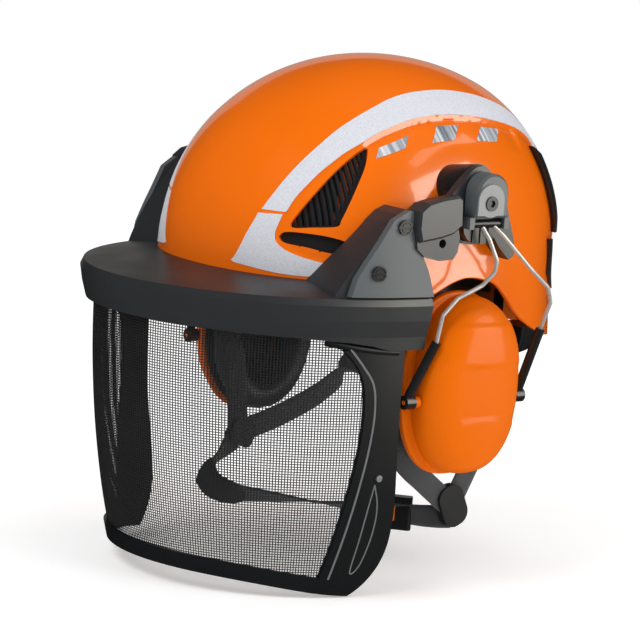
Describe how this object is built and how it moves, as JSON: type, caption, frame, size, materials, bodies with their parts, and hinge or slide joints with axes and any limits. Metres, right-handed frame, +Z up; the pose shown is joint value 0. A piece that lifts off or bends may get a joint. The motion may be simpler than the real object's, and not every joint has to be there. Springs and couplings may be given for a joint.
{
  "type": "forestry helmet",
  "caption": "Hard hat for forest work with a hinged mesh face visor under a brow guard, sprung wire ear muffs, adjustable headband and a chin strap with buckle.",
  "frame": {"origin": "centre of the head opening at brow height, where the head meets the headband", "axes": "+Z up, the face looks along -Y, the wearer's left is +X"},
  "size_m": [0.2652, 0.3128, 0.3124],
  "materials": {
    "shell_orange": "glossy moulded plastic",
    "cup_orange": "satin moulded plastic",
    "reflective_white": "reflective film",
    "silver_film": "silver reflective film",
    "black_plastic": "fine grain",
    "vent_mesh": "matte",
    "guard_black": "fine grain",
    "grey_plastic": "fine grain",
    "light_grey_plastic": "smooth",
    "dark_screw": "black oxide",
    "steel_wire": "drawn",
    "visor_net": "fine woven mesh",
    "visor_black": "fine grain",
    "webbing": "woven",
    "pad_fabric": "knitted",
    "cushion_vinyl": "soft vinyl",
    "foam": "open foam",
    "chin_rubber": "matte",
    "button_orange": "moulded plastic"
  },
  "bodies": {
    "helmet": {"shell": "shell_orange", "reflective_stripe_left": "reflective_white", "reflective_stripe_right": "reflective_white", "silver_marks_left": "silver_film", "silver_marks_right": "silver_film", "rear_clips_left": "black_plastic", "rear_clips_right": "black_plastic", "vent_grille_left": "vent_mesh", "vent_grille_right": "vent_mesh", "mount_base_left": "black_plastic", "mount_base_right": "black_plastic", "wire_boss_left": "grey_plastic", "wire_boss_right": "grey_plastic", "boss_plate_left": "light_grey_plastic", "boss_plate_right": "light_grey_plastic", "boss_screws": "dark_screw", "headband": "black_plastic", "brow_pad": "pad_fabric", "crown_cradle": "webbing", "suspension_lugs": "black_plastic", "ratchet_housing": "black_plastic", "strap_anchors": "black_plastic", "strap_left": "webbing", "strap_right": "webbing", "strap_divider_left": "black_plastic", "strap_divider_right": "black_plastic", "chin_web": "webbing", "chin_pad": "chin_rubber", "buckle": "black_plastic"},
    "visor": {"brow_guard": "guard_black", "end_plate_left": "grey_plastic", "end_plate_right": "grey_plastic", "plate_screws": "dark_screw", "visor_arm_left": "guard_black", "visor_arm_right": "guard_black", "visor_mesh": "visor_net", "visor_hem": "visor_black", "visor_panel_left": "visor_black", "visor_panel_right": "visor_black", "visor_rivets": "dark_screw"},
    "muff_arms_left": {"muff_wire_left": "steel_wire", "wire_sleeve_left": "black_plastic"},
    "muff_arms_right": {"muff_wire_right": "steel_wire", "wire_sleeve_right": "black_plastic"},
    "muff_cup_left": {"ear_cup_left": "cup_orange", "cup_plate_left": "black_plastic", "ear_cushion_left": "cushion_vinyl", "ear_foam_left": "foam"},
    "muff_cup_right": {"ear_cup_right": "cup_orange", "cup_plate_right": "black_plastic", "ear_cushion_right": "cushion_vinyl", "ear_foam_right": "foam"},
    "knob": {"ratchet_knob": "black_plastic"},
    "button": {"buckle_button": "button_orange"}
  },
  "joints": [
    {"name": "visor_tilt", "type": "hinge", "parent": "helmet", "child": "visor", "pos_m": [0, 0.003, 0.0628], "axis": [-1, 0, 0], "range_deg": [0, 75]},
    {"name": "muff_lift_left", "type": "hinge", "parent": "helmet", "child": "muff_arms_left", "pos_m": [0.1245, 0.00225, 0.0432], "axis": [0, -1, 0], "range_deg": [0, 35]},
    {"name": "muff_lift_right", "type": "hinge", "parent": "helmet", "child": "muff_arms_right", "pos_m": [-0.1245, 0.00225, 0.0432], "axis": [0, 1, 0], "range_deg": [0, 35]},
    {"name": "cup_tilt_left", "type": "hinge", "parent": "muff_arms_left", "child": "muff_cup_left", "pos_m": [0.112, 0.0075, -0.064], "axis": [0, 1, 0], "range_deg": [0, 8]},
    {"name": "cup_tilt_right", "type": "hinge", "parent": "muff_arms_right", "child": "muff_cup_right", "pos_m": [-0.112, 0.0075, -0.064], "axis": [0, 1, 0], "range_deg": [-8, 0]},
    {"name": "band_ratchet", "type": "hinge", "parent": "helmet", "child": "knob", "pos_m": [0, 0.114, -0.0285], "axis": [0, 1, 0], "continuous": true},
    {"name": "buckle_release", "type": "slide", "parent": "helmet", "child": "button", "axis": [-0.682, 0.7314, 0], "range_m": [0, 0.0015], "stiffness_N_per_m": 300, "springref_m": -0.001}
  ]
}
